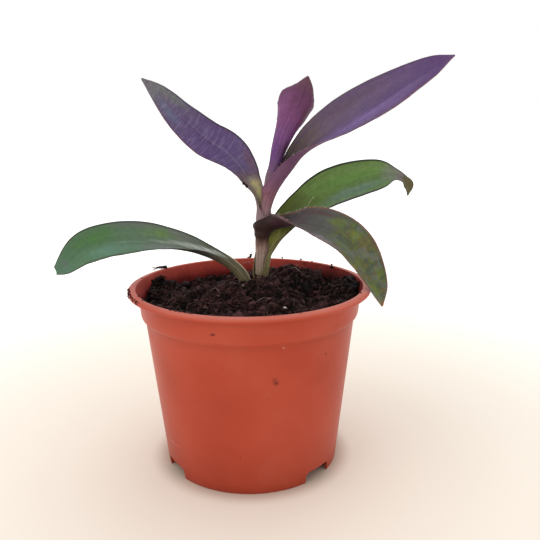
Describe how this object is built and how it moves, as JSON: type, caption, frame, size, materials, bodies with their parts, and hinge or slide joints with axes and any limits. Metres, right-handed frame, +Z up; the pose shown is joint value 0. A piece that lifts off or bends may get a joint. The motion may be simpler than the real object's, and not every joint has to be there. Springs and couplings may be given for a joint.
{
  "type": "potted tradescantia",
  "caption": "Young tradescantia with purple and green strap-shaped leaves on an upright sheathed stem, in a thin moulded nursery pot with a wide rim and a notched foot.",
  "frame": {"origin": "centre of the pot's foot, on the surface that it stands on", "axes": "+Z up along the pot's axis; +X to the right and +Y to the back, seen from the front"},
  "size_m": [0.1699, 0.105, 0.1738],
  "materials": {
    "pot_plastic": "satin",
    "potting_soil": "matte",
    "stem": "satin",
    "purple_leaf": "satin",
    "young_leaf": "satin",
    "green_leaf": "satin",
    "mottled_leaf": "satin"
  },
  "bodies": {
    "root": {"pot": "pot_plastic", "soil": "potting_soil", "stem": "stem", "leaf_upper_left": "purple_leaf", "leaf_young": "young_leaf", "leaf_upper_right": "purple_leaf", "leaf_back_right": "green_leaf", "leaf_front_right": "mottled_leaf", "leaf_lower_left": "green_leaf"}
  },
  "joints": []
}
